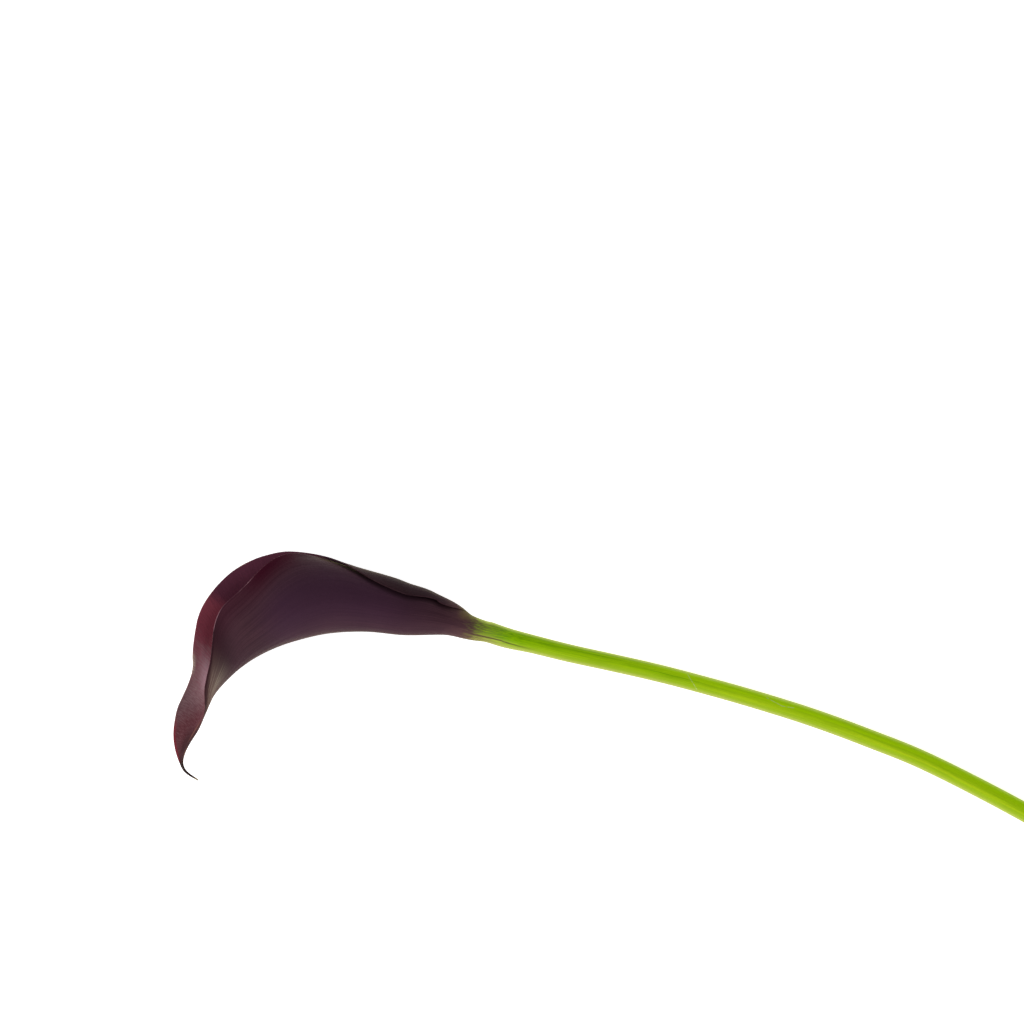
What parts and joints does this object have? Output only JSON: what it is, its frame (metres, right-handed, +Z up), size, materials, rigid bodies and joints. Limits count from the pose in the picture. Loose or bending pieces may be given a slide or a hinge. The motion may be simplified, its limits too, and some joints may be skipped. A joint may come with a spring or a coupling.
{
  "type": "calla lily flower",
  "caption": "Cut calla lily lying on its side: a near-black spathe rolled into a funnel with a flared rim and a thin curved tail, on a long bent green stem.",
  "frame": {"origin": "on the surface that the flower lies on, under the middle of its bounding box", "axes": "+X from the mouth of the spathe towards the cut end of the stem, +Y the side that the roll of the spathe opens to, +Z up from the surface"},
  "size_m": [0.4239, 0.1558, 0.0387],
  "materials": {
    "stem": "fleshy yellow-green skin, satin, with fine lengthwise streaks",
    "spathe": "near-black aubergine, satin outside and velvety burgundy inside, finely veined",
    "spadix": "matt golden ochre, covered in tiny florets"
  },
  "bodies": {
    "root": {"stem": "stem", "spathe": "spathe", "spadix": "spadix"}
  },
  "joints": []
}
